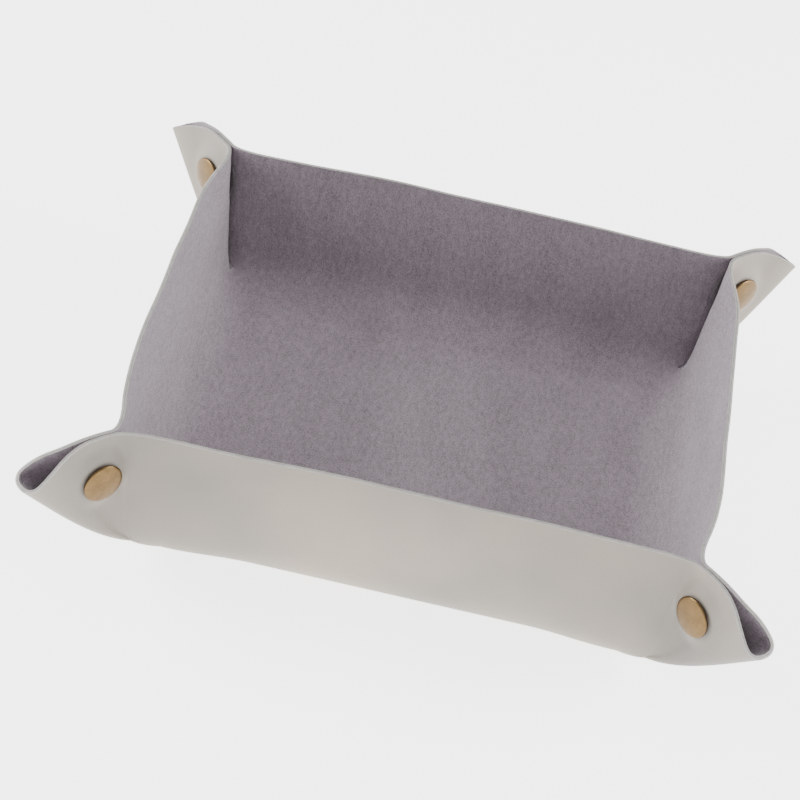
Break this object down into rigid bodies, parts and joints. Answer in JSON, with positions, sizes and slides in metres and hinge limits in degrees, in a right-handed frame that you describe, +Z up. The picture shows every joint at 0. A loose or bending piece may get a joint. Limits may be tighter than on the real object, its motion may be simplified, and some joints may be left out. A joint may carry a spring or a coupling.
{
  "type": "folding dice tray",
  "caption": "Rectangular dice tray folded up from a flat sheet: grey leather outside, suede lining inside, corners pinched into ears and held by brass press snaps.",
  "frame": {"origin": "middle of the underside of the folded tray", "axes": "X along the long side, Y along the short side with -Y to the front, Z up"},
  "size_m": [0.2166, 0.2066, 0.0497],
  "materials": {
    "outer_leather": "smooth matt pale warm grey leather with a fine grain",
    "lining_suede": "mauve grey suede with a soft brushed nap",
    "antique_brass": "antique brass, satin, darker in the rolled edge",
    "ring_spring": "bright drawn spring wire"
  },
  "bodies": {
    "base": {"base_leather": "outer_leather", "base_lining": "lining_suede"},
    "back_wall": {"back_wall_leather": "outer_leather", "back_wall_lining": "lining_suede"},
    "front_wall": {"front_wall_leather": "outer_leather", "front_wall_lining": "lining_suede"},
    "right_wall": {"right_wall_leather": "outer_leather", "right_wall_lining": "lining_suede"},
    "left_wall": {"left_wall_leather": "outer_leather", "left_wall_lining": "lining_suede"},
    "back_wall_right_ear": {"back_wall_right_ear_leather": "outer_leather", "back_wall_right_ear_lining": "lining_suede", "back_right_snap_cap": "antique_brass", "back_right_snap_socket": "antique_brass", "back_right_snap_spring": "ring_spring"},
    "right_wall_back_ear": {"right_wall_back_ear_leather": "outer_leather", "right_wall_back_ear_lining": "lining_suede", "back_right_snap_back_cap": "antique_brass", "back_right_snap_stud": "antique_brass"},
    "back_wall_left_ear": {"back_wall_left_ear_leather": "outer_leather", "back_wall_left_ear_lining": "lining_suede", "back_left_snap_cap": "antique_brass", "back_left_snap_socket": "antique_brass", "back_left_snap_spring": "ring_spring"},
    "left_wall_back_ear": {"left_wall_back_ear_leather": "outer_leather", "left_wall_back_ear_lining": "lining_suede", "back_left_snap_back_cap": "antique_brass", "back_left_snap_stud": "antique_brass"},
    "front_wall_right_ear": {"front_wall_right_ear_leather": "outer_leather", "front_wall_right_ear_lining": "lining_suede", "front_right_snap_cap": "antique_brass", "front_right_snap_socket": "antique_brass", "front_right_snap_spring": "ring_spring"},
    "right_wall_front_ear": {"right_wall_front_ear_leather": "outer_leather", "right_wall_front_ear_lining": "lining_suede", "front_right_snap_back_cap": "antique_brass", "front_right_snap_stud": "antique_brass"},
    "front_wall_left_ear": {"front_wall_left_ear_leather": "outer_leather", "front_wall_left_ear_lining": "lining_suede", "front_left_snap_cap": "antique_brass", "front_left_snap_socket": "antique_brass", "front_left_snap_spring": "ring_spring"},
    "left_wall_front_ear": {"left_wall_front_ear_leather": "outer_leather", "left_wall_front_ear_lining": "lining_suede", "front_left_snap_back_cap": "antique_brass", "front_left_snap_stud": "antique_brass"}
  },
  "joints": [
    {"name": "back_wall_fold", "type": "hinge", "parent": "base", "child": "back_wall", "pos_m": [0, 0.074, 0.0018], "axis": [-1, 0, 0], "range_deg": [0, 83]},
    {"name": "front_wall_fold", "type": "hinge", "parent": "base", "child": "front_wall", "pos_m": [0, -0.074, 0.0018], "axis": [1, 0, 0], "range_deg": [0, 83]},
    {"name": "right_wall_fold", "type": "hinge", "parent": "base", "child": "right_wall", "pos_m": [0.079, 0, 0.0018], "axis": [0, 1, 0], "range_deg": [0, 78]},
    {"name": "left_wall_fold", "type": "hinge", "parent": "base", "child": "left_wall", "pos_m": [-0.079, 0, 0.0018], "axis": [0, -1, 0], "range_deg": [0, 78]},
    {"name": "back_wall_right_ear_fold", "type": "hinge", "parent": "back_wall", "child": "back_wall_right_ear", "pos_m": [0.07687, 0.07314, 0.00217], "axis": [-0.1331, -0.0917, -0.9869], "range_deg": [0, 45.4]},
    {"name": "right_wall_back_ear_fold", "type": "hinge", "parent": "right_wall", "child": "right_wall_back_ear", "pos_m": [0.07821, 0.07195, 0.0024], "axis": [0.1322, 0.2326, 0.9635], "range_deg": [0, 46.3]},
    {"name": "back_wall_left_ear_fold", "type": "hinge", "parent": "back_wall", "child": "back_wall_left_ear", "pos_m": [-0.07687, 0.07314, 0.00217], "axis": [-0.1331, 0.0917, 0.9869], "range_deg": [0, 45.4]},
    {"name": "left_wall_back_ear_fold", "type": "hinge", "parent": "left_wall", "child": "left_wall_back_ear", "pos_m": [-0.07821, 0.07195, 0.0024], "axis": [0.1322, -0.2326, -0.9635], "range_deg": [0, 46.3]},
    {"name": "front_wall_right_ear_fold", "type": "hinge", "parent": "front_wall", "child": "front_wall_right_ear", "pos_m": [0.07687, -0.07314, 0.00217], "axis": [0.1331, -0.0917, 0.9869], "range_deg": [0, 45.4]},
    {"name": "right_wall_front_ear_fold", "type": "hinge", "parent": "right_wall", "child": "right_wall_front_ear", "pos_m": [0.07821, -0.07195, 0.0024], "axis": [-0.1322, 0.2326, -0.9635], "range_deg": [0, 46.3]},
    {"name": "front_wall_left_ear_fold", "type": "hinge", "parent": "front_wall", "child": "front_wall_left_ear", "pos_m": [-0.07687, -0.07314, 0.00217], "axis": [0.1331, 0.0917, -0.9869], "range_deg": [0, 45.4]},
    {"name": "left_wall_front_ear_fold", "type": "hinge", "parent": "left_wall", "child": "left_wall_front_ear", "pos_m": [-0.07821, -0.07195, 0.0024], "axis": [-0.1322, -0.2326, 0.9635], "range_deg": [0, 46.3]}
  ],
  "couplings": [
    {"joint": "front_wall_fold", "follows": "back_wall_fold", "ratio": 1},
    {"joint": "right_wall_fold", "follows": "back_wall_fold", "ratio": 0.93976},
    {"joint": "left_wall_fold", "follows": "back_wall_fold", "ratio": 0.93976},
    {"joint": "back_wall_right_ear_fold", "follows": "back_wall_fold", "ratio": 0.54698},
    {"joint": "right_wall_back_ear_fold", "follows": "back_wall_fold", "ratio": 0.55782},
    {"joint": "back_wall_left_ear_fold", "follows": "back_wall_fold", "ratio": 0.54698},
    {"joint": "left_wall_back_ear_fold", "follows": "back_wall_fold", "ratio": 0.55782},
    {"joint": "front_wall_right_ear_fold", "follows": "back_wall_fold", "ratio": 0.54698},
    {"joint": "right_wall_front_ear_fold", "follows": "back_wall_fold", "ratio": 0.55782},
    {"joint": "front_wall_left_ear_fold", "follows": "back_wall_fold", "ratio": 0.54698},
    {"joint": "left_wall_front_ear_fold", "follows": "back_wall_fold", "ratio": 0.55782}
  ]
}
